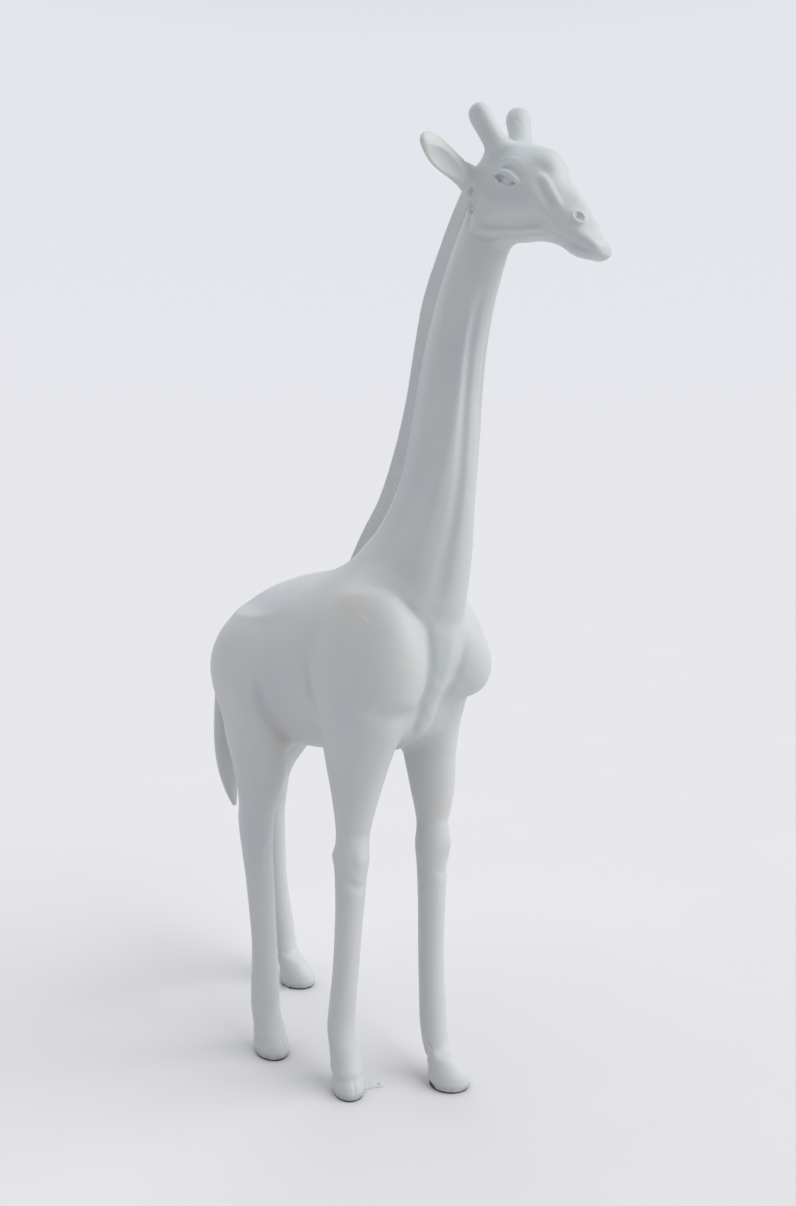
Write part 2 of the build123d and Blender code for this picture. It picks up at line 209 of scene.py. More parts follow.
class Grid:
    """The field on a box of points. Shapes are only worked out near themselves."""

    REACH = 0.03                 # how far round an added shape its distances are filled in

    def __init__(self, low, high, step):
        self.step = step
        self.low = np.array(low, float)
        self.axes = [np.arange(a, b + step, step) for a, b in zip(low, high)]
        self.values = np.full([len(axis) for axis in self.axes], FAR, dtype=np.float32)

    def window(self, shape, margin):
        low, high = shape.bounds()
        cuts = []
        for axis, a, b in zip(self.axes, low - margin, high + margin):
            first, last = np.searchsorted(axis, [a, b])
            if first >= last:
                return None
            cuts.append(slice(first, last))
        x, y, z = (axis[cut] for axis, cut in zip(self.axes, cuts))
        return tuple(cuts), x[:, None, None], y[None, :, None], z[None, None, :]

    def add(self, shape, k=0.01):
        found = self.window(shape, k + self.REACH)
        if found:
            cuts, x, y, z = found
            self.values[cuts] = smooth_min(self.values[cuts], shape(x, y, z), k)

    def cut(self, shape, k=0.004):
        found = self.window(shape, k)
        if found:
            cuts, x, y, z = found
            self.values[cuts] = -smooth_min(-self.values[cuts], shape(x, y, z), k)

    def dent(self, shape, depth):
        """Press the surface in (or out, if depth is negative) along a line, by how near it passes."""
        found = self.window(shape, 0.0)
        if found:
            cuts, x, y, z = found
            self.values[cuts] += depth * shape.weight(x, y, z)

    def sample(self, points):
        place = (points - self.low) / self.step
        top = np.array(self.values.shape) - 2
        corner = np.clip(np.floor(place).astype(int), 0, top)
        f = np.clip(place - corner, 0, 1)
        total = 0.0
        for dx in (0, 1):
            for dy in (0, 1):
                for dz in (0, 1):
                    weight = ((f[:, 0] if dx else 1 - f[:, 0]) * (f[:, 1] if dy else 1 - f[:, 1])
                              * (f[:, 2] if dz else 1 - f[:, 2]))
                    total = total + weight * self.values[corner[:, 0] + dx, corner[:, 1] + dy,
                                                         corner[:, 2] + dz]
        return total

    def normals(self, points):
        slope = np.empty_like(points)
        for i in range(3):
            shift = np.zeros(3)
            shift[i] = self.step
            slope[:, i] = self.sample(points + shift) - self.sample(points - shift)
        return unit(slope)

    def snap(self, points):
        """The points moved onto the surface."""
        points = points.copy()
        for _ in range(5):
            points -= self.normals(points) * self.sample(points)[:, None]
        return points

    def surface(self):
        """Vertices, outward normals and triangles of the zero surface."""
        grid = openvdb.FloatGrid(FAR)
        grid.copyFromArray(self.values)
        points, quads = grid.convertToQuads(0.0)
        points = points.astype(float) * self.step + self.low
        quads = quads.astype(int)
        diagonal = np.linalg.norm(points[quads[:, 0]] - points[quads[:, 2]], axis=1)
        other = np.linalg.norm(points[quads[:, 1]] - points[quads[:, 3]], axis=1)
        short = (diagonal <= other)[:, None]
        first = np.where(short, quads[:, [0, 1, 2]], quads[:, [1, 2, 3]])
        second = np.where(short, quads[:, [0, 2, 3]], quads[:, [1, 3, 0]])
        return points, self.normals(points), np.concatenate([first, second])


class Line:
    """A soft groove or ridge along a smooth line of (x, y, z, half width), fading out at both ends."""

    REACH = 2.2                  # half widths at which it has no effect
    CUT_OFF = 0.008              # its weight there
    FADE_STEPS = 4               # steps of the line over which an end fades, at most this share of it
    FADE_SHARE = 0.4
    END_WEIGHT = 0.2

    def __init__(self, points, steps=4):
        self.rows = curve(points, steps)

    def laid_on(self, grid):
        self.rows[:, :3] = grid.snap(self.rows[:, :3])
        return self

    def bounds(self):
        r = self.rows[:, 3].max() * self.REACH
        return self.rows[:, :3].min(axis=0) - r, self.rows[:, :3].max(axis=0) + r

    def weight(self, x, y, z):
        best = 0.0
        last = len(self.rows) - 1
        for i, (a, b) in enumerate(zip(self.rows[:-1], self.rows[1:])):
            t, squared = to_segment(a, b, x, y, z)
            end = np.clip(np.minimum(i + t, last - i - t) / min(self.FADE_STEPS, last * self.FADE_SHARE), 0, 1)
            end = self.END_WEIGHT + (1 - self.END_WEIGHT) * end * end * (3 - 2 * end)
            width = a[3] + (b[3] - a[3]) * t
            best = np.maximum(best, np.exp(-squared / (width * width)) * end)
        return np.maximum(best - self.CUT_OFF, 0.0)


# ---- the animal's main masses
POLL = np.array([0.0, -0.5, 2.2])
PITCH = math.radians(40)
NOSEWARD = (0.0, -math.cos(PITCH), -math.sin(PITCH))
CROWNWARD = (0.0, -math.sin(PITCH), math.cos(PITCH))


def head_place(across, along, up):
    """A point given in the head's own frame."""
    return POLL + np.array([across, 0, 0]) + along * np.array(NOSEWARD) + up * np.array(CROWNWARD)


def trunk_mass():
    stations = (-0.432, -0.4, -0.33, -0.23, -0.11, 0.04, 0.18, 0.27, 0.315, 0.336)
    rows = girths(["trunk_shell_right", "trunk_shell_left"], (0, 0, 0), (1, 0, 0), (0, 0, 1), (0, -1, 0),
                  stations)
    return Stack(rows, across=(1, 0, 0), up=(0, 0, 1), along=(0, -1, 0), cap=0.05)


# Upper arm and thigh sections above the measured ones: height, centre x and y, half width, half depth.
LEG_TOPS = {
    "front_right": [(0.9, -0.118, -0.2, 0.066, 0.092), (1.01, -0.124, -0.22, 0.084, 0.122),
                    (1.11, -0.122, -0.236, 0.086, 0.138), (1.2, -0.106, -0.238, 0.076, 0.122),
                    (1.28, -0.076, -0.215, 0.034, 0.06)],
    "front_left": [(0.9, 0.104, -0.244, 0.058, 0.08), (1.01, 0.112, -0.238, 0.074, 0.1),
                   (1.11, 0.125, -0.262, 0.084, 0.128), (1.2, 0.112, -0.256, 0.076, 0.122),
                   (1.28, 0.076, -0.225, 0.034, 0.06)],
    "hind_right": [(1.01, -0.106, 0.186, 0.086, 0.142), (1.12, -0.098, 0.18, 0.08, 0.13),
                   (1.22, -0.086, 0.17, 0.054, 0.092)],
    "hind_left": [(1.01, 0.11, 0.262, 0.086, 0.142), (1.12, 0.098, 0.236, 0.08, 0.13),
                  (1.22, 0.086, 0.22, 0.054, 0.092)],
}
LEG_HEIGHTS = {
    "front": (0.0625, 0.115, 0.185, 0.33, 0.48, 0.585, 0.645, 0.71, 0.8),
    "hind": (0.0625, 0.125, 0.19, 0.32, 0.48, 0.57, 0.66, 0.72, 0.8, 0.9),
}


def leg_mass(leg):
    heights = LEG_HEIGHTS[leg.split("_")[0]]
    rows = girths([f"{leg}_leg_outer", f"{leg}_leg_inner"], (0, 0, 0), (1, 0, 0), (0, 1, 0), (0, 0, 1), heights)
    return Stack(list(rows) + LEG_TOPS[leg], cap=0.01)


# Neck sections: centre y and z, lean back from vertical, half width, half depth.
NECK = [
    (-0.17, 1.14, 34, 0.12, 0.16), (-0.205, 1.22, 32, 0.138, 0.2), (-0.262, 1.33, 28, 0.11, 0.176),
    (-0.318, 1.44, 21, 0.088, 0.138), (-0.356, 1.56, 15, 0.074, 0.108), (-0.379, 1.69, 11, 0.066, 0.089),
    (-0.397, 1.82, 11, 0.061, 0.078), (-0.423, 1.94, 17, 0.057, 0.071), (-0.464, 2.06, 25, 0.054, 0.068),
    (-0.51, 2.16, 30, 0.05, 0.062),
]


class Neck:
    """Oval sections in planes that lean with a bending centre line in the midplane."""

    def __init__(self, rows):
        self.rows = curve(rows, 8)
        self.rows[:, 2] = np.radians(self.rows[:, 2])

    def bounds(self):
        y, z, _, width, depth = self.rows.T
        return (np.array([-width.max(), (y - depth).min(), (z - depth).min()]),
                np.array([width.max(), (y + depth).max(), (z + depth).max()]))

    def __call__(self, x, y, z):
        rows = self.rows
        above = np.stack([(z - row[1]) * math.cos(row[2]) - (y - row[0]) * math.sin(row[2]) for row in rows])
        first = np.clip((above >= 0).sum(axis=0) - 1, 0, len(rows) - 2)
        low = np.take_along_axis(above, first[None], 0)[0]
        high = np.take_along_axis(above, first[None] + 1, 0)[0]
        t = np.clip(low / np.maximum(low - high, TINY), 0, 1)
        cy, cz, lean, width, depth = (rows[first, i] + (rows[first + 1, i] - rows[first, i]) * t
                                      for i in range(5))
        deep = (y - cy) * np.cos(lean) + (z - cz) * np.sin(lean)
        wall = np.maximum(oval_wall(x, deep, width, depth), -width)
        return np.maximum(wall, np.maximum(above[-1], -above[0]))


def head_mass():
    stations = (-0.047, -0.025, 0.025, 0.075, 0.125, 0.175, 0.225, 0.275, 0.315, 0.337)
    rows = girths(["head_shell_right", "head_shell_left"], POLL, (1, 0, 0), CROWNWARD, NOSEWARD, stations)
    return Stack(rows, POLL, (1, 0, 0), CROWNWARD, NOSEWARD, cap=0.02)


TRUNK = trunk_mass()
LEG_MASS = {leg: leg_mass(leg) for leg in LEGS}
NECK_MASS = Neck(NECK)
HEAD_MASS = head_mass()


def main_masses(grid):
    grid.add(TRUNK)
    for leg in LEGS:
        grid.add(LEG_MASS[leg], 0.05)
    grid.add(NECK_MASS, 0.06)
    grid.add(HEAD_MASS, 0.03)


def mirrored(points):
    return [(-p[0], *p[1:]) for p in points]


# ---- feet
TOE_TURN = {"front_right": -25, "front_left": 30, "hind_right": 0, "hind_left": 18}
SOLE_TOP = 0.006                # the castings end a little above the plates
HOOF_TOP = 0.062
HOOF_PROUD = 0.003              # how far a hoof stands out past its plate
HEEL_CREASES = ((0.072, 0.75), (0.088, 0.6), (0.104, 0.5))     # height, and how far round each reaches
# Hoof outline by height: shares of the footprint's half width and half length, and how far back it moves.
HOOF_ROWS = [(-0.02, 0.96, 0.96, 0.0), (0.006, 0.99, 0.99, 0.0), (0.02, 1.03, 1.03, 0.0),
             (0.038, 1.0, 0.98, 0.002), (0.054, 0.9, 0.86, 0.007), (0.07, 0.76, 0.7, 0.013),
             (0.086, 0.58, 0.5, 0.019)]


def toe_axes(leg):
    turn = math.radians(TOE_TURN[leg])
    return np.array([math.cos(turn), math.sin(turn), 0.0]), np.array([-math.sin(turn), math.cos(turn), 0.0])


def hoof_mass(leg):
    low, high = (np.array(c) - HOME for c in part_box(f"{leg}_sole_plate"))
    middle, half = (low + high) / 2, (high - low) / 2 + HOOF_PROUD
    turn = math.radians(TOE_TURN[leg])
    c2, s2 = math.cos(turn) ** 2, math.sin(turn) ** 2
    width = math.sqrt((half[0] ** 2 * c2 - half[1] ** 2 * s2) / (c2 - s2))
    length = math.sqrt((half[1] ** 2 * c2 - half[0] ** 2 * s2) / (c2 - s2))
    side, back = toe_axes(leg)
    rows = [(z, 0.0, shift, width * a, length * b) for z, a, b, shift in HOOF_ROWS]
    return Stack(rows, (middle[0], middle[1], 0.0), side, back, (0, 0, 1), cap=0.01), middle, length


def press(grid, whole, lines, both_sides=False):
    """Press grooves and ridges into the surface, each laid on the unsculpted one first."""
    for depth, points in lines:
        for line in (points, mirrored(points)) if both_sides else (points,):
            grid.dent(Line(line).laid_on(whole), depth)


def sculpt_foot(grid, leg):
    """Hoof, heel creases and the cleft at the toe."""
    mass, middle, length = hoof_mass(leg)
    grid.add(mass, 0.022)
    side, back = toe_axes(leg)
    out = -1 if "right" in leg else 1
    for z, reach in HEEL_CREASES:
        arc = []
        for turn in (-1.1, -0.4, 0.4, 1.1):
            p = middle + side * math.sin(turn * reach) * 0.045 + back * math.cos(turn * reach) * 0.055
            arc.append((p[0], p[1], z + 0.003 * turn * out, 0.0036))
        grid.dent(Line(arc).laid_on(grid), 0.005)
    notch = middle - back * length
    split = [(notch[0], notch[1], 0.012, 0.004), (*(notch + back * 0.012)[:2], 0.03, 0.0045),
             (*(notch + back * 0.03)[:2], 0.05, 0.004)]
    grid.dent(Line(split).laid_on(grid), 0.0022)
    if leg == "front_left":
        # this heel stands a little off its plate
        heel = middle + back * length * 0.95
        grid.cut(Blob((heel[0], heel[1], -0.002), (0.052, 0.04, 0.022)), 0.006)


# ---- muscles and creases
# Each row: depth (into the body, or out if negative) and a line of (x, y, z, half width) on the right side.
BODY_LINES = [
    # fold in front of the thigh, and the thigh behind it
    (0.02, [(-0.192, 0.105, 1.085, 0.01), (-0.188, 0.099, 1.04, 0.014), (-0.181, 0.084, 1.005, 0.017),
             (-0.165, 0.066, 0.968, 0.018), (-0.145, 0.052, 0.936, 0.018), (-0.118, 0.042, 0.915, 0.016)]),
    (-0.011, [(-0.188, 0.17, 1.09, 0.045), (-0.186, 0.15, 1.02, 0.045), (-0.17, 0.125, 0.96, 0.038)]),
    # hollow of the flank
    (0.01, [(-0.19, 0.02, 1.06, 0.04), (-0.186, 0.045, 1.02, 0.04), (-0.17, 0.04, 0.97, 0.035)]),
    # front edge of the shoulder, where the neck rises out of it
    (0.009, [(-0.135, -0.18, 1.35, 0.03), (-0.118, -0.27, 1.33, 0.026), (-0.094, -0.34, 1.296, 0.02),
             (-0.072, -0.378, 1.25, 0.015)]),
    # hollow under the point of the shoulder
    (0.014, [(-0.178, -0.29, 1.06, 0.022), (-0.145, -0.345, 1.048, 0.024), (-0.1, -0.36, 1.035, 0.02)]),
    # back of the upper arm
    (0.011, [(-0.182, -0.08, 1.16, 0.015), (-0.188, -0.095, 1.09, 0.012), (-0.19, -0.11, 1.03, 0.012),
             (-0.18, -0.115, 0.97, 0.012), (-0.165, -0.11, 0.93, 0.01)]),
    (-0.004, [(-0.19, -0.062, 1.09, 0.012), (-0.186, -0.075, 1.03, 0.01), (-0.176, -0.085, 0.975, 0.009)]),
    # hip and croup
    (-0.006, [(-0.1, 0.3, 1.235, 0.035), (-0.078, 0.249, 1.272, 0.035), (-0.058, 0.101, 1.335, 0.03)]),
    # hollow behind the ribs, high on the side
    (0.004, [(-0.165, -0.01, 1.23, 0.05), (-0.168, 0.08, 1.21, 0.05)]),
]
NECK_LINES = [
    # ridge beside the mane
    (-0.0035, [(-0.04, -0.395, 2.06, 0.008), (-0.045, -0.345, 1.901, 0.009), (-0.05, -0.32, 1.75, 0.01),
               (-0.058, -0.29, 1.6, 0.011), (-0.066, -0.24, 1.5, 0.012), (-0.075, -0.16, 1.41, 0.014)]),
    # long hollow along the side
    (0.0075, [(-0.054, -0.468, 2.06, 0.016), (-0.053, -0.44, 1.894, 0.018), (-0.054, -0.42, 1.8, 0.019),
              (-0.06, -0.4, 1.704, 0.021), (-0.068, -0.372, 1.606, 0.025), (-0.08, -0.325, 1.506, 0.03),
              (-0.092, -0.28, 1.428, 0.034)]),
    # muscle in front of it
    (-0.006, [(-0.042, -0.492, 2.03, 0.012), (-0.039, -0.465, 1.88, 0.013), (-0.042, -0.448, 1.751, 0.015),
              (-0.052, -0.432, 1.654, 0.018), (-0.062, -0.41, 1.556, 0.021), (-0.075, -0.382, 1.456, 0.025),
              (-0.086, -0.355, 1.37, 0.028)]),
    # groove beside the windpipe
    (0.008, [(-0.028, -0.507, 2.002, 0.008), (-0.029, -0.48, 1.9, 0.009), (-0.029, -0.466, 1.78, 0.009),
             (-0.033, -0.457, 1.63, 0.011), (-0.04, -0.447, 1.531, 0.013), (-0.048, -0.436, 1.457, 0.016),
             (-0.058, -0.42, 1.37, 0.02), (-0.064, -0.405, 1.29, 0.022)]),
]
# Furrow between a shoulder and the breast, deeper on the right.
FURROW = [(-0.068, -0.386, 1.25, 0.012), (-0.056, -0.389, 1.17, 0.013), (-0.047, -0.375, 1.11, 0.013),
          (-0.041, -0.35, 1.05, 0.012), (-0.037, -0.325, 1.0, 0.011), (-0.034, -0.3, 0.96, 0.01)]
# Lines on the breast: its plate, the keel under it, and the step where the neck rises from it.
MIDDLE_LINES = [
    (0.013, FURROW),
    (0.005, mirrored(FURROW)),
    (-0.008, [(0.0, -0.412, 1.23, 0.02), (0.0, -0.4, 1.17, 0.026), (0.0, -0.385, 1.1, 0.02),
              (0.0, -0.345, 1.01, 0.014)]),
    (-0.013, [(0.0, -0.375, 1.08, 0.018), (0.0, -0.35, 1.02, 0.022), (0.0, -0.31, 0.97, 0.02),
              (0.0, -0.22, 0.93, 0.012), (0.0, -0.15, 0.915, 0.01)]),
    (0.0035, [(-0.06, -0.395, 1.27, 0.02), (-0.03, -0.42, 1.256, 0.022), (0.03, -0.42, 1.256, 0.022),
              (0.06, -0.395, 1.27, 0.02)]),
    # rump, over the seam
    (-0.014, [(0.0, 0.33, 1.25, 0.03), (0.0, 0.42, 1.13, 0.03), (0.0, 0.44, 1.01, 0.03),
              (0.0, 0.4, 0.92, 0.03), (0.0, 0.33, 0.88, 0.025)]),
]


def leg_lines(leg):
    """Knee or hock, tendons and fetlock, placed on the leg's own sections."""
    rows = LEG_MASS[leg].rows
    out = -1 if "right" in leg else 1
    front = leg.startswith("front")

    def on(z, around, width):
        """A point on the leg's side: around is 0 at the front, 90 on the outside, 180 behind."""
        cx, cy, rx, ry = (np.interp(z, rows[:, 0], rows[:, i]) for i in range(1, 5))
        turn = math.radians(around)
        return (cx + out * rx * math.sin(turn), cy - ry * math.cos(turn), z, width)

    lines = []
    for around in (125, -125):
        low, high = (0.21, 0.56) if front else (0.22, 0.6)
        lines.append((0.006, [on(z, around, 0.0075) for z in (low, low + 0.1, low + 0.2, high)]))
    lines.append((-0.0055, [on(0.175, 180, 0.016), on(0.14, 180, 0.016)]))
    if front:
        lines.append((-0.006, [on(0.668, 20, 0.02), on(0.635, 15, 0.02)]))
        lines.append((-0.006, [on(0.655, 150, 0.016), on(0.64, 150, 0.016)]))
        lines.append((0.004, [on(0.61, 70, 0.012), on(0.585, 40, 0.012), on(0.575, 0, 0.012),
                              on(0.59, -40, 0.012)]))
        lines.append((0.004, [on(0.705, 60, 0.014), on(0.715, 20, 0.014), on(0.715, -30, 0.014)]))
    else:
        lines.append((-0.008, [on(0.715, 178, 0.016), on(0.68, 180, 0.018)]))
        lines.append((-0.005, [on(0.64, 10, 0.018), on(0.6, 10, 0.016)]))
        lines.append((0.006, [on(0.86, 140, 0.02), on(0.79, 145, 0.016), on(0.73, 140, 0.012)]))
        lines.append((-0.004, [on(0.9, 20, 0.012), on(0.78, 20, 0.01), on(0.66, 25, 0.009),
                               on(0.5, 30, 0.008)]))
        lines.append((0.0045, [on(0.88, 50, 0.016), on(0.76, 50, 0.013), on(0.64, 55, 0.01),
                               on(0.5, 60, 0.009)]))
    return lines


# Shoulders and hips: centre, radii and how softly they join.
BULGES = [
    ((-0.11, -0.3, 1.165), (0.066, 0.09, 0.125), 0.045),
    ((0.126, -0.318, 1.13), (0.068, 0.088, 0.08), 0.045), ((0.104, -0.3, 1.19), (0.072, 0.098, 0.105), 0.05),
    ((-0.108, -0.245, 1.245), (0.055, 0.09, 0.095), 0.08), ((0.108, -0.245, 1.245), (0.055, 0.09, 0.095), 0.08),
    ((-0.118, 0.215, 1.09), (0.072, 0.13, 0.14), 0.05), ((0.118, 0.215, 1.09), (0.072, 0.13, 0.14), 0.05),
]


def sculpt_body(grid, whole):
    for centre, radii, k in BULGES:
        grid.add(Blob(centre, radii), k)
    press(grid, whole, BODY_LINES, both_sides=True)
    press(grid, whole, MIDDLE_LINES)
    for leg in LEGS:
        press(grid, whole, leg_lines(leg))


def sculpt_neck(grid, whole):
    press(grid, whole, NECK_LINES, both_sides=True)


# ---- head
def face(points):
    """Points of the right cheek in the head's frame (across, along, up, radius or half width)."""
    return [(*head_place(*p[:3]), p[3]) for p in points]


FACE_LINES = [
    # brow, with its wrinkles
    (-0.005, [(-0.06, 0.035, 0.1, 0.016), (-0.058, 0.07, 0.108, 0.018), (-0.058, 0.1, 0.098, 0.014)]),
    (0.0018, [(-0.063, 0.024, 0.078, 0.0026), (-0.06, 0.034, 0.095, 0.0026), (-0.058, 0.054, 0.104, 0.0026),
              (-0.058, 0.08, 0.105, 0.0026), (-0.059, 0.1, 0.098, 0.0026)]),
    (0.0014, [(-0.058, 0.022, 0.104, 0.0026), (-0.055, 0.048, 0.117, 0.0026), (-0.055, 0.08, 0.118, 0.0026),
              (-0.056, 0.102, 0.108, 0.0026)]),
    (0.0022, [(-0.067, 0.036, 0.072, 0.0032), (-0.066, 0.052, 0.091, 0.0034), (-0.065, 0.074, 0.097, 0.0034),
              (-0.063, 0.096, 0.09, 0.003)]),
    # hollow round the eye
    (0.0035, [(-0.066, 0.02, 0.06, 0.014), (-0.066, 0.045, 0.042, 0.014), (-0.066, 0.08, 0.044, 0.014)]),
    # back edge of the cheek
    (0.007, [(-0.052, -0.026, 0.034, 0.007), (-0.052, -0.016, 0.01, 0.008), (-0.05, 0.0, -0.016, 0.008),
             (-0.048, 0.016, -0.04, 0.008), (-0.044, 0.034, -0.058, 0.008)]),
    # jaw edge and the hollows above it
    (-0.0045, [(-0.052, 0.04, -0.05, 0.01), (-0.048, 0.082, -0.032, 0.009), (-0.042, 0.113, -0.014, 0.008),
               (-0.037, 0.142, 0.004, 0.008), (-0.036, 0.173, 0.026, 0.007), (-0.037, 0.205, 0.046, 0.006)]),
    (0.004, [(-0.046, 0.04, -0.062, 0.006), (-0.043, 0.082, -0.045, 0.006), (-0.037, 0.112, -0.028, 0.006),
              (-0.033, 0.142, -0.01, 0.006), (-0.033, 0.173, 0.012, 0.005), (-0.034, 0.2, 0.032, 0.004)]),
    (0.009, [(-0.05, 0.07, -0.02, 0.016), (-0.046, 0.105, -0.004, 0.018), (-0.044, 0.155, 0.034, 0.018),
             (-0.045, 0.19, 0.053, 0.014)]),
    # mouth
    (0.008, [(-0.038, 0.205, 0.044, 0.0036), (-0.036, 0.241, 0.048, 0.004), (-0.037, 0.269, 0.051, 0.0042),
              (-0.036, 0.292, 0.055, 0.0042), (-0.034, 0.314, 0.06, 0.004), (-0.024, 0.332, 0.062, 0.0036)]),
    (0.0025, [(-0.024, 0.33, 0.062, 0.0034), (0.0, 0.34, 0.062, 0.0034)]),
    (0.002, [(-0.036, 0.222, 0.036, 0.003), (-0.035, 0.246, 0.038, 0.003), (-0.034, 0.27, 0.041, 0.003)]),
    (-0.005, [(-0.035, 0.262, 0.072, 0.011), (-0.033, 0.298, 0.073, 0.011), (-0.02, 0.324, 0.07, 0.01)]),
    (-0.004, [(-0.03, 0.27, 0.038, 0.009), (-0.027, 0.3, 0.042, 0.009), (-0.012, 0.322, 0.046, 0.008)]),
    # long ridges of the face, with a furrow between them
    (-0.005, [(-0.048, 0.112, 0.12, 0.008), (-0.046, 0.14, 0.114, 0.008), (-0.045, 0.164, 0.106, 0.008),
              (-0.043, 0.192, 0.096, 0.007), (-0.04, 0.215, 0.088, 0.007)]),
    (0.0025, [(-0.054, 0.13, 0.104, 0.006), (-0.05, 0.16, 0.095, 0.006), (-0.046, 0.19, 0.086, 0.006)]),
    (-0.005, [(-0.058, 0.122, 0.09, 0.009), (-0.056, 0.146, 0.081, 0.009), (-0.053, 0.17, 0.073, 0.008),
              (-0.049, 0.194, 0.065, 0.007), (-0.045, 0.214, 0.058, 0.007)]),
    (-0.004, [(-0.03, 0.225, 0.094, 0.015), (-0.03, 0.262, 0.086, 0.015)]),
    # bridge of the nose, and the rounded tip
    (-0.0055, [(-0.004, 0.17, 0.125, 0.016), (-0.004, 0.215, 0.116, 0.018), (-0.004, 0.255, 0.106, 0.016),
               (-0.003, 0.295, 0.096, 0.012)]),
    # temple
    (0.005, [(-0.05, 0.112, 0.128, 0.014), (-0.044, 0.13, 0.128, 0.014)]),
]
UPPER_LID = [(-0.065, 0.037, 0.066, 0.0034), (-0.0672, 0.046, 0.0775, 0.0056), (-0.0675, 0.069, 0.0827, 0.0066),
             (-0.066, 0.089, 0.0827, 0.0058), (-0.063, 0.102, 0.0805, 0.0034)]
LOWER_LID = [(-0.065, 0.038, 0.0635, 0.0024), (-0.068, 0.055, 0.0585, 0.0028), (-0.0685, 0.072, 0.0605, 0.003),
             (-0.067, 0.089, 0.0675, 0.0028), (-0.0635, 0.101, 0.079, 0.0024)]
EYE_TILT = 0.26
EYE_SOCKET = (-0.07, 0.07, 0.0715)
EYEBALL = (-0.0495, 0.071, 0.07)
EYE_CORNER = (-0.068, 0.0415, 0.065)
NOSTRIL = (-0.031, 0.251, 0.097)
FAR_NOSTRIL = (-0.035, 0.251, 0.089)       # lower, so that its rim stays off the outline
NOSTRIL_RIM = (0.014, 0.0112, 0.003)       # half length, half height and thickness
# Hollows of a nostril: shift towards the nose, and radii.
NOSTRIL_HOLES = ((-0.001, (0.011, 0.0086, 0.0055)), (-0.004, (0.0024, 0.0066, 0.0085)))


def reflected(vector, side):
    return np.array([vector[0] * side, vector[1], vector[2]])


def sculpt_face(grid, whole, side):
    """One side of the face; side is 1 for the right and -1 for the left."""
    def placed(points):
        there = face(points)
        return there if side == 1 else mirrored(there)

    def axes(*directions):
        turned = []
        for d in directions:
            v = np.array([d[0], 0, 0]) + d[1] * np.array(NOSEWARD) + d[2] * np.array(CROWNWARD)
            turned.append((v[0] * side, v[1], v[2]))
        return turned

    def hollow_or_ball(place, radii, directions):
        return Blob(placed([(*place, 0)])[0][:3], radii, axes(*directions))

    press(grid, whole, [(depth, placed(points)) for depth, points in FACE_LINES])
    straight = ((1, 0, 0), (0, 1, 0), (0, 0, 1))
    tilted = ((1, 0, 0), (0, math.cos(EYE_TILT), math.sin(EYE_TILT)),
              (0, -math.sin(EYE_TILT), math.cos(EYE_TILT)))
    grid.cut(hollow_or_ball(EYE_SOCKET, (0.012, 0.032, 0.0105), tilted), 0.003)
    grid.add(hollow_or_ball(EYEBALL, (0.0195, 0.0225, 0.0165), tilted), 0.0008)
    grid.add(Cord(placed(UPPER_LID)), 0.003)
    grid.add(Cord(placed(LOWER_LID)), 0.003)
    grid.cut(hollow_or_ball(EYE_CORNER, (0.0085, 0.0038, 0.0044), straight), 0.0015)
    sculpt_nostril(grid, side)


def sculpt_nostril(grid, side):
    """A raised rim round two hollows, laid on the surface wherever that faces."""
    spot = reflected(head_place(*(NOSTRIL if side == 1 else FAR_NOSTRIL)), side)
    spot = grid.snap(spot[None])[0]
    facing = grid.normals(spot[None])[0]
    ahead = np.array(NOSEWARD) - facing * (facing @ NOSEWARD)
    ahead /= np.linalg.norm(ahead)
    down = np.cross(facing, ahead)
    long, high, thick = NOSTRIL_RIM
    rim = [(*(spot + ahead * math.cos(turn) * long + down * math.sin(turn) * high), thick)
           for turn in np.linspace(0, 2 * math.pi, 13)]
    grid.add(Cord(rim, 2), 0.004)
    for shift, radii in NOSTRIL_HOLES:
        grid.cut(Blob(spot + ahead * shift + facing * 0.002, radii, (ahead, down, facing)), 0.0018)


EAR_ROOT = np.array([-0.05, -0.484, 2.242])
EAR_ALONG = np.array([-0.148, 0.01, 0.052])
EAR_FRONT = 0.525                # no part of an ear is further forward than this
EAR_UP = np.array([0.1, 0.14, 1.0])
EAR_JOINT = 0.03                # the castings start this far out from the roots
HORN_JOINT = 0.034
# Ear sections: distance out, shift forward, shift up, half thickness, half height.
EAR_ROWS = [
    (-0.032, 0, 0.0, 0.021, 0.028), (0.0, 0, 0.0, 0.021, 0.033), (0.02, 0, 0.0, 0.017, 0.031),
    (0.045, 0, 0.0, 0.016, 0.031), (0.08, 0, 0.0, 0.015, 0.0345), (0.108, 0, 0.0, 0.013, 0.0345),
    (0.132, 0, 0.001, 0.01, 0.027), (0.148, 0, 0.002, 0.007, 0.014), (0.153, 0, 0.002, 0.004, 0.007),
]
# Horns: foot and direction. The left one stands a little higher, as carved.
HORNS = {1: (np.array([-0.0347, -0.5633, 2.2792]), np.array([-0.0325, 0.053, 0.105])),
         -1: (np.array([0.0387, -0.562, 2.2992]), np.array([0.0325, 0.037, 0.105]))}
HORN_WIDE = np.array([-0.68, -0.73, 0.0])


def frame_of(along, near):
    """Unit axes: square to both, nearest to `near`, and along."""
    along = along / np.linalg.norm(along)
    near = near - along * (near @ along)
    near = near / np.linalg.norm(near)
    return np.cross(near, along), near, along


def sculpt_ear(grid, side):
    thick, tall, along = frame_of(EAR_ALONG, EAR_UP)
    root, *turned = (reflected(v, side) for v in (EAR_ROOT, thick, tall, along))
    grid.add(Stack(EAR_ROWS, root, *turned, cap=0.006), 0.018)
    front = thick if thick[1] < 0 else -thick
    cup = EAR_ROOT + along * 0.086 - tall * 0.034 + front * 0.0165
    turned = [reflected(v, side) for v in (along, tall, front)]
    grid.cut(Blob(reflected(cup, side), (0.066, 0.037, 0.0155), turned), 0.004)


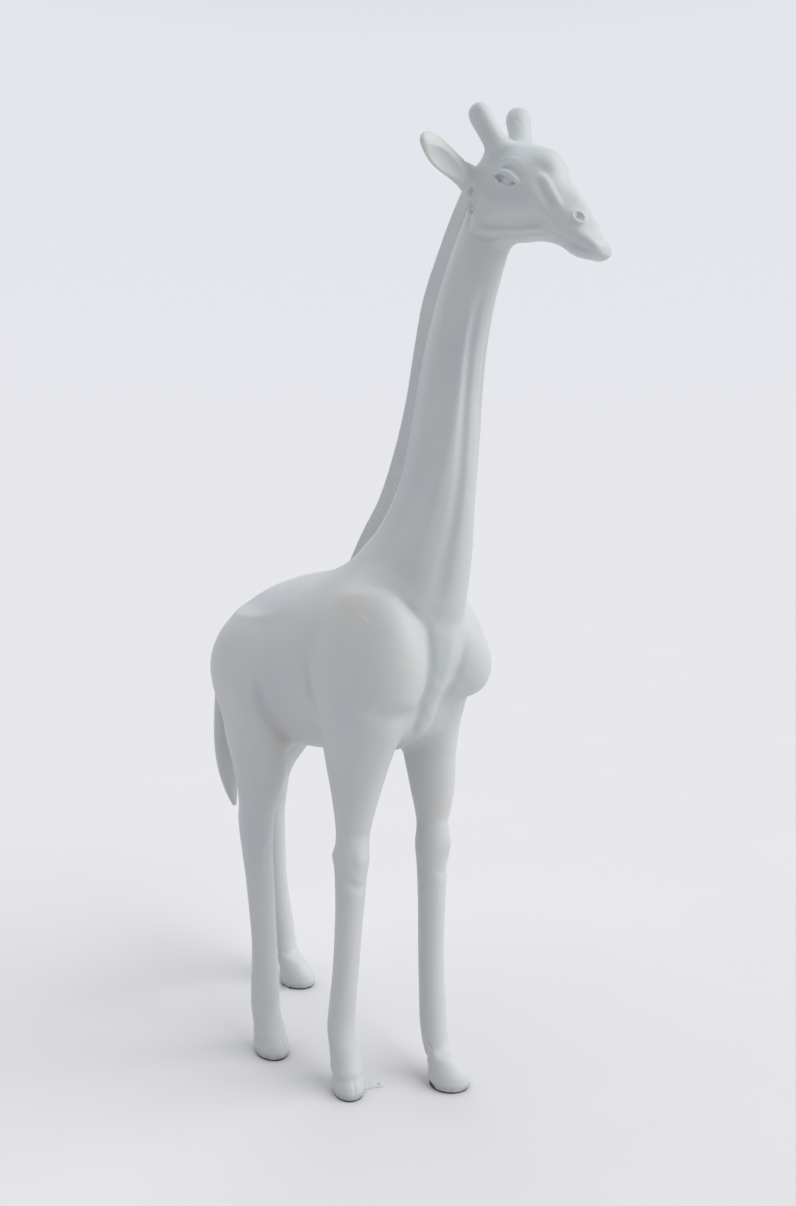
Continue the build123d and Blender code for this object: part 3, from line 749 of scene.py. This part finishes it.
# Horn sections: distance up, two shifts, half width, half depth.
HORN_ROWS = [
    (0.0, 0, 0, 0.031, 0.03), (0.022, 0, 0, 0.027, 0.025), (0.045, 0, 0, 0.025, 0.023),
    (0.068, 0, 0, 0.0255, 0.0228), (0.088, 0, 0, 0.0272, 0.0228), (0.103, 0, 0, 0.0255, 0.0212),
    (0.113, 0, 0, 0.0195, 0.0165), (0.1178, 0, 0, 0.012, 0.01),
]


def sculpt_horn(grid, side):
    foot, lean = HORNS[side]
    _, wide, along = frame_of(lean, reflected(HORN_WIDE, side))
    grid.add(Stack(HORN_ROWS, foot, wide, np.cross(along, wide), along, cap=0.008), 0.022)
    if side == -1:
        # a shallow twisting groove down the left one
        near, right, along = np.array([-0.816, -0.513, -0.268]), np.array([0.682, -0.731, 0.0]), lean / 0.116
        groove = [foot + along * t + near * 0.024 + right * w
                  for t, w in ((0.094, -0.006), (0.082, 0.0), (0.07, 0.007), (0.054, 0.008))]
        grid.dent(Line([(*p, 0.0032) for p in groove]), 0.0022)


def sculpt_head(grid, whole):
    forehead = Blob(head_place(0, 0.095, 0.122), (0.034, 0.036, 0.034), ((1, 0, 0), NOSEWARD, CROWNWARD))
    grid.add(forehead, 0.03)
    for side in (1, -1):
        sculpt_horn(grid, side)
        sculpt_ear(grid, side)
        sculpt_face(grid, whole, side)


# ---- mane and tail
# Free edge of the mane (y, z), withers to poll, and a line inside the neck that closes its outline.
MANE_EDGE = [
    (-0.044, 1.362), (-0.104, 1.462), (-0.17, 1.556), (-0.222, 1.672), (-0.26, 1.79), (-0.286, 1.907),
    (-0.314, 2.019), (-0.362, 2.122), (-0.408, 2.206), (-0.462, 2.286)]
MANE_ROOT = [(-0.5, 2.24), (-0.45, 2.08), (-0.4, 1.93), (-0.366, 1.69), (-0.32, 1.48), (-0.2, 1.3)]
COARSE_LOCKS = 0.0105            # spacing of the locks of hair
FINE_LOCKS = 0.0061
MANE_ROUNDING = 0.005
# Tail sections: centre y, z, half width, half depth.
TAIL = [(0.404, 1.165, 0.02, 0.024), (0.452, 1.105, 0.027, 0.034), (0.492, 1.02, 0.028, 0.034),
        (0.508, 0.93, 0.026, 0.032), (0.512, 0.85, 0.027, 0.034), (0.509, 0.77, 0.027, 0.034),
        (0.497, 0.7, 0.022, 0.028), (0.478, 0.645, 0.014, 0.019), (0.466, 0.612, 0.006, 0.008)]


def mane_field(grid):
    """A thin upright slab with a rounded free edge, cut by slanting locks of hair."""
    y, z = grid.axes[1][:, None], grid.axes[2][None, :]
    edge = curve(np.array(MANE_EDGE), 4)
    outline = np.concatenate([edge, np.array(MANE_ROOT)])
    gap = np.full((len(grid.axes[1]), len(grid.axes[2])), 1e9)
    inside = np.zeros(gap.shape, dtype=bool)
    for a, b in zip(outline, np.roll(outline, -1, axis=0)):
        d = b - a
        t = np.clip(((y - a[0]) * d[0] + (z - a[1]) * d[1]) / (d @ d), 0, 1)
        gap = np.minimum(gap, np.hypot(y - a[0] - d[0] * t, z - a[1] - d[1] * t))
        crosses = (a[1] > z) != (b[1] > z)
        if a[1] != b[1]:
            inside ^= crosses & (y < a[0] + (z - a[1]) * d[0] / d[1])
    deep = np.where(inside, gap, -gap)
    # slanting strokes: two sizes of wavering lines that run up and back
    run = z * 0.8 - y * 0.6
    waver = 0.0035 * np.sin(z * 41 + 1.3) + 0.002 * np.sin(z * 97 + y * 60)
    coarse = np.sin((run + waver) * 2 * math.pi / COARSE_LOCKS)
    fine = np.sin((run + waver * 1.7) * 2 * math.pi / FINE_LOCKS + 2)
    strokes = coarse * 0.6 + fine * 0.4
    strength = 0.5 + 0.5 * np.sin(z * 23 + y * 15)
    thick = 0.0075 + 0.0045 * np.clip(deep / 0.05, 0, 1) + 0.0009 * strokes * (0.35 + 0.65 * strength)
    x = np.abs(grid.axes[0])[:, None, None]
    a = x - thick[None] + MANE_ROUNDING
    b = -deep[None] + 0.0008 * strokes[None] + MANE_ROUNDING
    grid.values[:] = (np.hypot(np.maximum(a, 0), np.maximum(b, 0)) + np.minimum(np.maximum(a, b), 0)
                      - MANE_ROUNDING)


# ---- pieces
def off_zero(values, limit=1e-5):
    """Near-zero values moved off zero, so that no triangle is split at its own corner."""
    return np.where(np.abs(values) < limit, -limit, values)


def clip(mesh, values):
    """The part of a mesh where values (one per vertex) are negative; triangles on the line are split."""
    points, normals, tris = mesh
    values = off_zero(values)
    inside = values < 0
    count = inside[tris].sum(axis=1)
    kept = [tris[count == 3]]
    new_points, new_normals = [points], [normals]
    mixed = tris[(count == 1) | (count == 2)]
    if len(mixed):
        lone = inside[mixed].sum(axis=1) == 1
        odd = np.where(lone[:, None], inside[mixed], ~inside[mixed])
        first = np.argmax(odd, axis=1)
        order = (first[:, None] + np.arange(3)) % 3
        turned = np.take_along_axis(mixed, order, axis=1)
        ends = np.concatenate([turned[:, [0, 1]], turned[:, [0, 2]]])
        keys, index = np.unique(np.sort(ends, axis=1), axis=0, return_inverse=True)
        index = index.reshape(-1)
        a, b = keys[:, 0], keys[:, 1]
        t = (values[a] / (values[a] - values[b]))[:, None]
        new_points.append(points[a] + (points[b] - points[a]) * t)
        new_normals.append(unit(normals[a] + (normals[b] - normals[a]) * t))
        ab, ac = index[:len(mixed)] + len(points), index[len(mixed):] + len(points)
        tip, left, right = turned.T
        kept.append(np.stack([tip, ab, ac], 1)[lone])
        kept.append(np.stack([left, right, ac], 1)[~lone])
        kept.append(np.stack([left, ac, ab], 1)[~lone])
    return compact((np.concatenate(new_points), np.concatenate(new_normals), np.concatenate(kept)))


def compact(mesh):
    points, normals, tris = mesh
    used, index = np.unique(tris, return_inverse=True)
    return points[used], normals[used], index.reshape(-1, 3)


def connected(mesh, near=None):
    """The largest connected part of a mesh, or the part with the vertex nearest to a point."""
    points, normals, tris = mesh
    label = np.arange(len(points))
    while True:
        before = label.copy()
        low = label[tris].min(axis=1)
        for i in range(3):
            np.minimum.at(label, tris[:, i], low)
        label = label[label]
        if (label == before).all():
            break
    if near is None:
        best = np.argmax(np.bincount(label[tris[:, 0]], minlength=len(points)))
    else:
        best = label[np.argmin(((points - near) ** 2).sum(axis=1))]
    return compact((points, normals, tris[label[tris[:, 0]] == best]))


def open_edges(tris):
    """Directed edges that have no neighbour."""
    edges = np.concatenate([tris[:, [0, 1]], tris[:, [1, 2]], tris[:, [2, 0]]])
    size = int(tris.max()) + 1
    forward = edges[:, 0] * size + edges[:, 1]
    back = edges[:, 1] * size + edges[:, 0]
    return edges[~np.isin(forward, back)]


def hollow(mesh, wall):
    """A laminate of even thickness behind an open outer surface, closed at its rim."""
    points, normals, tris = mesh
    count = len(points)
    a, b = open_edges(tris).T
    rim = np.concatenate([np.stack([b, a, a + count], 1), np.stack([b, a + count, b + count], 1)])
    return (np.concatenate([points, points - normals * wall]), np.concatenate([normals, -normals]),
            np.concatenate([tris, tris[:, ::-1] + count, rim]))


def capped(mesh):
    """A solid casting: each open end is closed by a fan to its middle."""
    points, normals, tris = mesh
    after = {}
    for a, b in open_edges(tris).tolist():
        after[a] = b
    points, normals, tris = [points], [normals], [tris]
    count = len(points[0])
    while after:
        start, step = after.popitem()
        loop = [start]
        while step != start and step in after:
            loop.append(step)
            step = after.pop(step)
        ring = points[0][loop]
        middle = ring.mean(axis=0)
        turn = np.cross(np.roll(ring, -1, axis=0) - middle, ring - middle).sum(axis=0)
        points.append(middle[None])
        normals.append(unit(turn)[None])
        ahead = loop[1:] + loop[:1]
        tris.append(np.array([(b, a, count) for a, b in zip(loop, ahead)]))
        count += 1
    return np.concatenate(points), np.concatenate(normals), np.concatenate(tris)


def piece(name, parts, nodes):
    """A Blender object made of closed meshes, standing for CAD nodes."""
    points, normals, tris, count = [], [], [], 0
    for part in parts:
        points.append(part[0] + HOME)
        normals.append(part[1])
        tris.append(part[2] + count)
        count += len(part[0])
    mesh = bpy.data.meshes.new(name)
    mesh.from_pydata(np.concatenate(points), [], np.concatenate(tris))
    mesh.polygons.foreach_set("use_smooth", np.ones(len(mesh.polygons), dtype=bool))
    mesh.update()
    mesh.normals_split_custom_set_from_vertices(np.concatenate(normals))
    thing = bpy.data.objects.new(name, mesh)
    bpy.context.scene.collection.objects.link(thing)
    thing.data.materials.append(PAINT)
    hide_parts(*nodes)
    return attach(thing, "root")


def halves(mesh, region, wall=WALL):
    """A moulding's right and left halves, which meet on the midline."""
    for side, sign in (("right", 1), ("left", -1)):
        half = clip(mesh, mesh[0][:, 0] * sign)
        piece(f"{region}_skin_{side}", [hollow(half, wall)], [f"{region}_shell_{side}"])


# The neck's joint with the trunk lies no lower than a line: y, its height there, and its slope.
NECK_BASE = (-0.42, 1.215, 0.42)
HEAD_BASE = 2.195                # everything above this height is head, not neck
FOOT_TOP = 0.2                 # below this a leg is meshed on its own finer grid
LAP = 0.006                      # how far the neck runs on under its neighbours
LAP_START = 0.001                # it starts to sink this far before the joint
LAP_RAMP = 0.003
LAP_DEPTH = 0.0009


def at(shape, mesh):
    points = mesh[0]
    return shape(points[:, 0], points[:, 1], points[:, 2])


def past(mesh, origin, along):
    return (mesh[0] - origin) @ along


def regions(mesh):
    """How each vertex belongs: a value per piece, negative inside it. Together they cover everything."""
    trunk, neck, head = at(TRUNK, mesh), at(NECK_MASS, mesh), at(HEAD_MASS, mesh)
    legs = {leg: at(LEG_MASS[leg], mesh) for leg in LEGS}
    y, z = mesh[0][:, 1], mesh[0][:, 2]
    below = np.minimum.reduce([trunk] + list(legs.values()))
    under_neck = (NECK_BASE[1] + (y - NECK_BASE[0]) * NECK_BASE[2] - z) * 0.8
    crown = np.maximum(neck - head, z - HEAD_BASE)
    found = {"neck": np.maximum.reduce([crown, neck - below, under_neck]), "head": -crown}
    rest = -np.maximum(neck - below, under_neck)
    for leg in LEGS:
        others = np.minimum.reduce([trunk] + [legs[other] for other in LEGS if other != leg])
        found[leg] = np.maximum(legs[leg] - others, rest)
    return found


def build_body(whole):
    grid = Grid((-0.225, -0.47, 0.185), (0.225, 0.56, 1.49), 0.0045)
    main_masses(grid)
    sculpt_body(grid, whole)
    sculpt_neck(grid, whole)
    mesh = grid.surface()
    rest = clip(mesh, -regions(mesh)["neck"])
    uppers = {}
    for leg in LEGS:
        # one cut after another, so that nothing is lost where three pieces meet
        found = regions(rest)[leg]
        part, rest = clip(rest, found), clip(rest, -found)
        uppers[leg] = clip(part, FOOT_TOP - part[0][:, 2])
    halves(rest, "trunk")
    return uppers


def split_line(leg):
    """Where a leg's outer and inner halves meet."""
    low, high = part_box(f"{leg}_leg_outer")
    return (high[0] if "right" in leg else low[0]) - HOME[0]


def build_legs(uppers):
    """Hooves, and each leg's two halves, made of a finely meshed shank and the upper from the body's grid."""
    for leg in LEGS:
        row = LEG_MASS[leg].rows[0]
        grid = Grid((row[1] - 0.075, row[2] - 0.12, -0.012), (row[1] + 0.075, row[2] + 0.095, 0.215), 0.0023)
        main_masses(grid)
        sculpt_foot(grid, leg)
        press(grid, WHOLE, leg_lines(leg))
        foot = grid.surface()
        shank = connected(clip(foot, HOOF_TOP - foot[0][:, 2]))
        shank = clip(shank, shank[0][:, 2] - FOOT_TOP)
        hoof = clip(foot, foot[0][:, 2] - HOOF_TOP)
        hoof = clip(hoof, SOLE_TOP - hoof[0][:, 2])
        piece(f"{leg}_hoof_casting", [capped(connected(hoof))], [f"{leg}_hoof"])
        middle = split_line(leg)
        for half in ("outer", "inner"):
            sign = 1 if (half == "outer") == ("right" in leg) else -1
            parts = []
            for part in (shank, uppers[leg]):
                parts.append(hollow(clip(part, (part[0][:, 0] - middle) * sign), WALL))
            piece(f"{leg}_leg_skin_{half}", parts, [f"{leg}_leg_{half}"])


def build_neck(whole):
    grid = Grid((-0.175, -0.64, 1.19), (0.175, -0.02, 2.265), 0.0035)
    main_masses(grid)
    sculpt_body(grid, whole)
    sculpt_neck(grid, whole)
    sculpt_head(grid, whole)
    mesh = grid.surface()
    # the last few millimetres slip just under the neighbouring skins
    mesh = clip(mesh, regions(mesh)["neck"] - LAP)
    sunk = np.clip((regions(mesh)["neck"] + LAP_START) / LAP_RAMP, 0, 1)
    mesh = (mesh[0] - mesh[1] * sunk[:, None] * LAP_DEPTH, mesh[1], mesh[2])
    halves(mesh, "neck")


def build_head(whole):
    grid = Grid((-0.215, -0.835, 1.985), (0.215, -0.4, 2.405), 0.0022)
    main_masses(grid)
    sculpt_neck(grid, whole)
    sculpt_head(grid, whole)
    mesh = grid.surface()
    head = clip(mesh, regions(mesh)["head"])
    for side, word in ((1, "right"), (-1, "left")):
        ear_along = reflected(EAR_ALONG / np.linalg.norm(EAR_ALONG), side)
        ear_joint = reflected(EAR_ROOT, side) + ear_along * EAR_JOINT
        horn_foot, horn_along = HORNS[side]
        horn_along = horn_along / np.linalg.norm(horn_along)
        horn_joint = horn_foot + horn_along * HORN_JOINT

        def in_ear(part):
            return np.minimum(past(part, ear_joint, ear_along), part[0][:, 1] + EAR_FRONT)

        def in_horn(part):
            return np.minimum(past(part, horn_joint, horn_along), 0.02 - part[0][:, 0] * side)

        ear = connected(clip(mesh, -in_ear(mesh)), ear_joint + ear_along * 0.09)
        horn = connected(clip(mesh, -in_horn(mesh)), horn_joint + horn_along * 0.07)
        piece(f"ear_casting_{word}", [capped(ear)], [f"ear_{word}"])
        piece(f"horn_casting_{word}", [capped(horn)], [f"horn_{word}"])
        head = clip(head, in_ear(head))
        head = clip(head, in_horn(head))
    halves(head, "head", HEAD_WALL)


def build_mane_and_tail():
    grid = Grid((-0.02, -0.56, 1.27), (0.02, -0.04, 2.305), 0.0021)
    mane_field(grid)
    piece("mane_casting", [connected(grid.surface())], ["mane"])
    grid = Grid((-0.05, 0.355, 0.59), (0.05, 0.565, 1.205), 0.003)
    grid.add(Cord([(0.0, y, z, (width + depth) / 2) for y, z, width, depth in TAIL], 5))
    piece("tail_casting", [connected(grid.surface())], ["tail"])


# ---- materials
class Nodes:
    """Short names for building a material's node tree."""

    def __init__(self, name):
        self.material = bpy.data.materials.new(name)
        self.material.use_nodes = True
        self.tree = self.material.node_tree
        self.shader = self.tree.nodes["Principled BSDF"]
        self.place = self.add("ShaderNodeTexCoord").outputs["Object"]

    def add(self, kind, **inputs):
        node = self.tree.nodes.new(kind)
        for name, value in inputs.items():
            self.put(node.inputs[name.replace("_", " ")], value)
        return node

    def put(self, socket, value):
        if isinstance(value, bpy.types.NodeSocket):
            self.tree.links.new(value, socket)
        else:
            socket.default_value = value

    def noise(self, scale, detail=3.0, roughness=0.5):
        return self.add("ShaderNodeTexNoise", Vector=self.place, Scale=scale, Detail=detail,
                        Roughness=roughness).outputs["Fac"]

    def ramp(self, value, *stops):
        node = self.add("ShaderNodeValToRGB", Fac=value)
        marks = node.color_ramp.elements
        while len(marks) < len(stops):
            marks.new(0.5)
        for mark, (place, colour) in zip(marks, stops):
            mark.position = place
            mark.color = (*colour, 1.0)
        return node.outputs["Color"]

    def grey(self, value, low, high, first=0.3, last=0.7):
        return self.ramp(value, (first, (low,) * 3), (last, (high,) * 3))

    def mix(self, share, a, b, blend="MIX"):
        node = self.tree.nodes.new("ShaderNodeMix")
        node.data_type = "RGBA"
        node.blend_type = blend
        self.put(node.inputs["Factor"], share)
        self.put(node.inputs["A"], a)
        self.put(node.inputs["B"], b)
        return node.outputs["Result"]

    def bump(self, height, strength, distance, below=None):
        node = self.add("ShaderNodeBump", Height=height, Strength=strength, Distance=distance)
        if below is not None:
            self.put(node.inputs["Normal"], below)
        return node.outputs["Normal"]

    def finish(self, colour, roughness, normal, metallic=0.0):
        for name, value in (("Base Color", colour), ("Roughness", roughness), ("Normal", normal),
                            ("Metallic", metallic)):
            self.put(self.shader.inputs[name], value)
        return self.material


def paint():
    """White satin paint over hand-finished laminate: cool and warm clouds, orange peel, and a speckled
    darkening near the ground.
    """
    n = Nodes("painted_skin")
    clouds = n.ramp(n.noise(4.5, 2.0), (0.32, (0.53, 0.565, 0.575)), (0.52, (0.56, 0.585, 0.585)),
                    (0.7, (0.585, 0.58, 0.56)))
    violet = n.mix(n.grey(n.noise(3.1, 1.0), 0.0, 0.35, 0.55, 0.72), clouds, (0.55, 0.575, 0.625, 1))
    streaks = n.mix(n.grey(n.noise(34, 4.0), 0.0, 0.1), violet, (0.49, 0.51, 0.52, 1))
    # towards the ground the colour darkens in speckles: most below 6 mm, fading out by 24 mm
    height = n.add("ShaderNodeSeparateXYZ", Vector=n.place).outputs["Z"]
    low = n.add("ShaderNodeMapRange", Value=height, From_Min=0.006, From_Max=0.024, To_Min=1.0, To_Max=0.0)
    speckle = n.grey(n.noise(70, 4.0, 0.6), 0.15, 0.75, 0.35, 0.65)
    darker_near_ground = n.add("ShaderNodeMath", Value=low.outputs["Result"])
    darker_near_ground.operation = "MULTIPLY"
    n.put(darker_near_ground.inputs[1], speckle)
    colour = n.mix(darker_near_ground.outputs[0], streaks, (0.25, 0.26, 0.28, 1))
    roughness = n.grey(n.noise(11, 3.0), 0.42, 0.56)
    peel = n.bump(n.noise(420, 2.0), 0.1, 0.0006)
    wave = n.bump(n.noise(38, 2.0), 0.16, 0.003, peel)
    return n.finish(colour, roughness, wave)


def worn_metal(name, base, scratch, rust, roughness):
    n = Nodes(name)
    patches = n.mix(n.grey(n.noise(60, 5.0, 0.65), 0.0, 1.0, 0.42, 0.66), (*base, 1), (*scratch, 1))
    colour = n.mix(n.grey(n.noise(24, 6.0, 0.7), 0.0, 0.8, 0.58, 0.74), patches, (*rust, 1))
    rough = n.grey(n.noise(80, 4.0), roughness - 0.1, roughness + 0.15)
    pits = n.bump(n.noise(500, 4.0), 0.35, 0.0006)
    return n.finish(colour, rough, n.bump(n.noise(90, 3.0), 0.2, 0.0012, pits), 0.35)


def laminate():
    """Raw glass-fibre tape: amber resin with a woven ground."""
    n = Nodes("laminate_tape")
    weave = n.add("ShaderNodeTexWave", Vector=n.place, Scale=160.0, Distortion=1.5)
    cross = n.add("ShaderNodeTexWave", Vector=n.place, Scale=160.0, Distortion=1.5)
    cross.bands_direction = "Z"
    cloth = n.mix(0.5, weave.outputs["Color"], cross.outputs["Color"])
    base = n.ramp(n.noise(14, 4.0), (0.35, (0.6, 0.56, 0.38)), (0.65, (0.74, 0.72, 0.58)))
    colour = n.mix(0.22, base, cloth, "MULTIPLY")
    return n.finish(colour, n.grey(n.noise(50, 3.0), 0.35, 0.6), n.bump(cloth, 0.3, 0.0008))


def dress_cad():
    """Materials of the CAD nodes that stay in view."""
    steel = worn_metal("sole_steel", (0.05, 0.052, 0.056), (0.14, 0.14, 0.145), (0.09, 0.062, 0.045), 0.6)
    strap = worn_metal("strap_steel", (0.6, 0.61, 0.62), (0.74, 0.75, 0.76), (0.36, 0.32, 0.29), 0.4)
    primer = worn_metal("frame_steel", (0.26, 0.1, 0.065), (0.33, 0.15, 0.1), (0.16, 0.07, 0.04), 0.65)
    tape = laminate()
    for name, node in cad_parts.items():
        if node.hide_render:
            continue
        if name.endswith("sole_plate"):
            finish = steel
        elif name.endswith("ground_strap"):
            finish = strap
        elif name.endswith("seam_tape"):
            finish = tape
        else:
            finish = primer
        node.data.materials.clear()
        node.data.materials.append(finish)


# ---- making it all
PAINT = paint()
WHOLE = Grid((-0.235, -0.85, -0.02), (0.235, 0.6, 2.42), 0.008)
main_masses(WHOLE)
build_legs(build_body(WHOLE))
build_neck(WHOLE)
build_head(WHOLE)
build_mane_and_tail()
dress_cad()


# ---- studio
# Colours of the room from the horizon up.
ROOM = ((0.0, (0.8, 0.8, 0.835)), (0.42, (0.765, 0.785, 0.84)), (0.8, (0.45, 0.46, 0.49)))
FLOOR_REACH = 60.0
LENS = 27.46                     # millimetres, on a 36 mm sensor
CAMERA_AT = (-1.681, -1.797, 1.55)
CAMERA_DOWN = 6.41               # degrees below level
CAMERA_TURN = -47.0


def studio():
    floor_mesh = bpy.data.meshes.new("floor")
    corners = [(x * FLOOR_REACH, y * FLOOR_REACH, 0) for x, y in ((-1, -1), (1, -1), (1, 1), (-1, 1))]
    floor_mesh.from_pydata(corners, [], [(0, 1, 2, 3)])
    floor = bpy.data.objects.new("floor", floor_mesh)
    bpy.context.scene.collection.objects.link(floor)
    n = Nodes("floor_paper")
    tone = n.ramp(n.noise(1.2, 2.0), (0.3, (0.644, 0.64, 0.653)), (0.7, (0.654, 0.65, 0.663)))
    floor_mesh.materials.append(n.finish(tone, 0.95, n.bump(n.noise(300, 2.0), 0.05, 0.0005)))
    n.shader.inputs["Specular IOR Level"].default_value = 0.1


def surroundings():
    """A pale room, dimmer overhead and on the statue's right, so that the lamps shape the form."""
    world = bpy.data.worlds.new("studio")
    bpy.context.scene.world = world
    world.use_nodes = True
    tree = world.node_tree
    background = tree.nodes["Background"]
    place, parts, fade, side = (tree.nodes.new(f"ShaderNode{kind}")
                                for kind in ("TexCoord", "SeparateXYZ", "ValToRGB", "MapRange"))
    for source, target in ((place.outputs["Generated"], parts.inputs[0]),
                           (parts.outputs["Z"], fade.inputs["Fac"]),
                           (parts.outputs["X"], side.inputs["Value"]),
                           (fade.outputs["Color"], background.inputs["Color"]),
                           (side.outputs["Result"], background.inputs["Strength"])):
        tree.links.new(source, target)
    for name, value in (("From Min", -0.6), ("From Max", 0.3), ("To Min", 0.4), ("To Max", 1.0)):
        side.inputs[name].default_value = value
    marks = fade.color_ramp.elements
    marks.new(0.5)
    for mark, (height, colour) in zip(marks, ROOM):
        mark.position = height
        mark.color = (*colour, 1.0)
    bpy.context.scene.view_settings.view_transform = "Standard"


def camera():
    lens = bpy.data.cameras.new("camera")
    lens.lens = LENS
    lens.sensor_width = 36.0
    thing = bpy.data.objects.new("camera", lens)
    bpy.context.scene.collection.objects.link(thing)
    thing.location = Vector(HOME) + Vector(CAMERA_AT)
    thing.rotation_euler = (math.radians(90 - CAMERA_DOWN), 0.0, math.radians(CAMERA_TURN))
    bpy.context.scene.camera = thing


def sun(name, toward, energy, angle, colour):
    """A light from far away, so wide that shadows stay soft; toward points at it."""
    light = bpy.data.lights.new(name, "SUN")
    light.energy = energy
    light.angle = math.radians(angle)
    light.color = colour
    thing = bpy.data.objects.new(name, light)
    bpy.context.scene.collection.objects.link(thing)
    thing.rotation_euler = Vector(toward).to_track_quat("Z", "Y").to_euler()


studio()
surroundings()
sun("key", (0.28, -0.66, 0.7), 2.0, 55, (1.0, 0.99, 0.975))
sun("overhead", (-0.15, 0.45, 0.88), 1.3, 80, (0.97, 0.98, 1.0))
camera()
